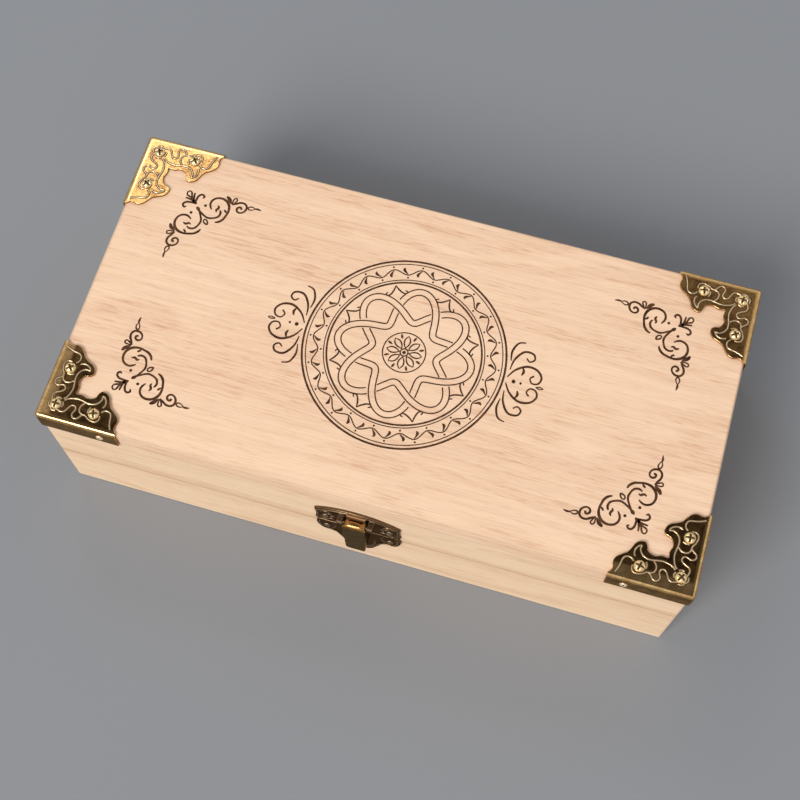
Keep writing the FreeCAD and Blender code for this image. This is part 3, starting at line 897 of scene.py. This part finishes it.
def domes(name, places, head, node, body, material=nail_brass, turned=0.0):
    """Round nail heads marked with a cross: places are (seat, outward) in millimetres.

    turned is how much further each head is turned than the one before it, in radians."""
    radius, height = head
    verts, faces, marks = [], [], []
    turns = [2 * math.pi * side / dome_sides for side in range(dome_sides)]
    between = [2 * math.pi * (side + 0.5) / dome_sides for side in range(dome_sides)]
    for index, (seat, outward) in enumerate(places):
        turn = Vector(outward).to_track_quat("Z", "Y").to_matrix()
        turn = turn @ Matrix.Rotation(turned * index, 3, "Z")
        start = len(verts)
        for share, rise in dome_rings:
            for angle in turns:
                x, y = polar(share, angle)
                z = height * (rise - cross_depth * cross(share, angle))
                spot = Vector(seat) + turn @ Vector((radius * x, radius * y, z))
                verts.append(tuple(MM * spot))
        for level in range(len(dome_rings) - 1):
            middle = (dome_rings[level][0] + dome_rings[level + 1][0]) / 2
            ring = start + level * dome_sides
            for side, angle in enumerate(between):
                a = ring + side
                b = ring + (side + 1) % dome_sides
                faces.append((a, b, b + dome_sides, a + dome_sides))
                marks.append(int(cross(middle, angle) > cross_dark))
        top = start + (len(dome_rings) - 1) * dome_sides
        for ring, mark in ((start, 0), (top, 1)):
            faces.append(tuple(range(ring, ring + dome_sides)))
            marks.append(mark)
    piece = mesh_piece(name, verts, faces, body, material)
    piece.data.materials.append(patina)
    for polygon, mark in zip(piece.data.polygons, marks):
        polygon.material_index = mark
    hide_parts(node)


# Nails in a guard, in from the corner: three in the plate, and one in each flange
nail_inset, nail_reach = 4.5, 16.6
flange_reach, flange_drop = 19.5, 3.6
tops, flanges = [], []
for sides in corners.values():
    on_plate = on_corner(sides, plate_level)
    on_flange = on_corner(sides, lid_top - flange_drop)
    for u, v in ((nail_inset, nail_inset), (nail_reach, nail_inset), (nail_inset, nail_reach)):
        tops.append((on_plate(u, v), (0, 0, 1)))
    flanges.append((on_flange(flange_reach, -sheet), (0, sides[1], 0)))
    flanges.append((on_flange(-sheet, flange_reach), (sides[0], 0, 0)))
domes("guard_top_nail_heads", tops, large_head, "guard_top_nails", "lid", turned=1.9)
domes("guard_flange_nail_heads", flanges, small_head, "guard_flange_nails", "lid", flange_nail)


# Clasp

lid_plate = dressed("clasp_lid_plate", clasp_brass, clasp_line, plate_bevel)
dressed("clasp_base_plate", clasp_brass, clasp_line, plate_bevel)
dressed("clasp_tongue", tongue_brass, tongue_brass, bevel=0.25)
dressed("clasp_pin", pin_steel, pin_steel, bevel=0.15)

# Painted shade: the hood over the tongue is redder and darker than the plate, which dims the
# highlight on it, and the ears beside it are darker, as shade beside the tongue
proud = -half_width - sheet - 0.05
hood_half, hood_foot = 3.1, 43.5
ear_from, ear_to, ear_foot = 3.7, 5.7, 39.0
lid_plate.data.materials.append(hood_shade_brass)
lid_plate.data.materials.append(pin_steel)
hood_shade_index, ear_shade_index = 2, 3
for polygon in lid_plate.data.polygons:
    x, y, z = polygon.center / MM
    if y < proud:
        if abs(x) < hood_half and z > hood_foot:
            polygon.material_index = hood_shade_index
        elif ear_from < abs(x) < ear_to and z > ear_foot:
            polygon.material_index = ear_shade_index

# Beads on one half of each plate, as (u, v) from the middle of the seam
clasp_beads = {
    "lid": [
        [(12.5, 1.4), (12.8, 2.8), (12.6, 6.0), (12.7, 8.6), (9.6, 10.6), (5.0, 12.3),
         (0.0, 13.0)],
        [(11.6, 8.2), (10.2, 9.3), (8.7, 9.0), (8.2, 7.9), (9.0, 7.1), (9.9, 7.6), (9.6, 8.3)],
        [(8.2, 7.9), (7.4, 6.8), (7.6, 5.6), (8.5, 5.2)],
        [(7.2, 1.4), (7.4, 2.8), (8.6, 3.2), (9.6, 2.2), (11.0, 1.5), (12.0, 2.4), (11.8, 3.6)],
    ],
    "base": [
        [(12.3, -1.4), (12.7, -3.6), (12.0, -6.8), (10.6, -8.5), (8.6, -9.0), (7.0, -9.9),
         (5.8, -12.2), (3.9, -16.4), (2.2, -18.6), (0.0, -19.3)],
        [(8.2, -1.6), (7.4, -3.4), (7.8, -5.6), (8.8, -7.4)],
        [(5.0, -8.0), (5.2, -10.6), (4.4, -13.4), (3.0, -15.8), (0.0, -17.2)],
    ],
}
for body, strokes in clasp_beads.items():
    drawing = Drawing(bead)
    for points in strokes:
        for side in (-1, 1):
            drawing.stroke([(side * u, v) for u, v in points], clasp_bead_width)
    verts = drawing.placed(on_front)
    mesh_piece(f"clasp_{body}_beads", verts, drawing.faces, body, clasp_line)

clasp_nail_reach = 10.2
for body, level in (("lid", 4.8), ("base", -5.0)):
    seats = [(on_front(side * clasp_nail_reach, level), (0, -1, 0)) for side in (-1, 1)]
    domes(f"clasp_{body}_nail_heads", seats, small_head, f"clasp_{body}_nails", body, clasp_nail)


# Hinges

hinge_places = {"left": -60.0, "right": 60.0}
hinge_nail_reach, hinge_nail_rise = 7.0, 6.6
for side in hinge_places:
    for leaf in ("lid_leaf", "base_leaf"):
        dressed(f"hinge_{side}_{leaf}", plate_brass, line_brass, plate_bevel)
    dressed(f"hinge_{side}_pin", pin_steel, pin_steel, bevel=0.12)
for body, rise in (("lid", hinge_nail_rise), ("base", -hinge_nail_rise)):
    seats = [
        ((centre + way * hinge_nail_reach, half_width + sheet, seam + rise), (0, 1, 0))
        for centre in hinge_places.values() for way in (-1, 1)
    ]
    domes(f"hinge_{body}_nail_heads", seats, small_head, f"hinge_{body}_nails", body)


# Floor, light and camera


def floor():
    shader = Shader("floor", **{"Specular IOR Level": 0.1, "Roughness": 0.85})
    cloud = shader.even_noise(3.0, detail=2.0)
    colour = shader.blend(cloud, (0.256, 0.268, 0.287), (0.284, 0.296, 0.315))
    shader.set(shader.surface, {"Base Color": colour})
    reach = 6.0
    mesh = bpy.data.meshes.new("floor")
    square = [(-reach, -reach, 0), (reach, -reach, 0), (reach, reach, 0), (-reach, reach, 0)]
    mesh.from_pydata(square, [], [(0, 1, 2, 3)])
    mesh.materials.append(shader.material)
    piece = in_scene("floor", mesh)


def lamp(name, place, target, size, power, colour):
    """A soft rectangular lamp that is aimed at a point; watts and metres."""
    data = bpy.data.lights.new(name, "AREA")
    data.shape = "RECTANGLE"
    data.size, data.size_y = size
    data.energy = power
    data.color = colour
    piece = in_scene(name, data)
    piece.location = place
    aim = Vector(target) - Vector(place)
    piece.rotation_mode = "QUATERNION"
    piece.rotation_quaternion = aim.to_track_quat("-Z", "Y")


def world():
    """A studio whose walls are brighter than its ceiling."""
    studio = bpy.data.worlds.new("studio")
    bpy.context.scene.world = studio
    studio.use_nodes = True
    walls, ceiling = (0.60, 0.60, 0.61), (0.11, 0.11, 0.115)
    walls_end, ceiling_start = 0.868, 0.9
    sky = Nodes(studio.node_tree)
    toward = sky.add("ShaderNodeTexCoord").outputs["Generated"]
    height = sky.split(toward)["Z"]
    amount = sky.span(height, walls_end, ceiling_start, interpolation_type="SMOOTHSTEP")
    background = sky.tree.nodes["Background"]
    sky.set(background, {"Color": sky.blend(amount, walls, ceiling)})


def camera():
    """The photograph's view, as fitted to the box's corners."""
    data = bpy.data.cameras.new("camera")
    data.lens = 61.727
    data.sensor_width = 36.0
    data.clip_start = 0.01
    piece = in_scene("camera", data)
    piece.location = (0.048248, -0.160897, 0.437976)
    piece.rotation_mode = "QUATERNION"
    piece.rotation_quaternion = (0.972239, 0.185903, 0.029644, 0.138968)
    bpy.context.scene.camera = piece


floor()
world()
lamp(
    "key", place=(-1.2, -2.75, 2.705), target=(0.0, 0.0, 0.03), size=(1.75, 1.75),
    power=121.0, colour=(1.0, 0.98, 0.95),
)
# This one lights the back left guard alone: the others don't mirror it to the camera
lamp(
    "back", place=(-0.334, 0.423, 0.716), target=(-0.09, 0.04, 0.056), size=(0.19, 0.15),
    power=0.44, colour=(0.84, 0.92, 1.0),
)
camera()
bpy.context.scene.view_settings.view_transform = "Standard"
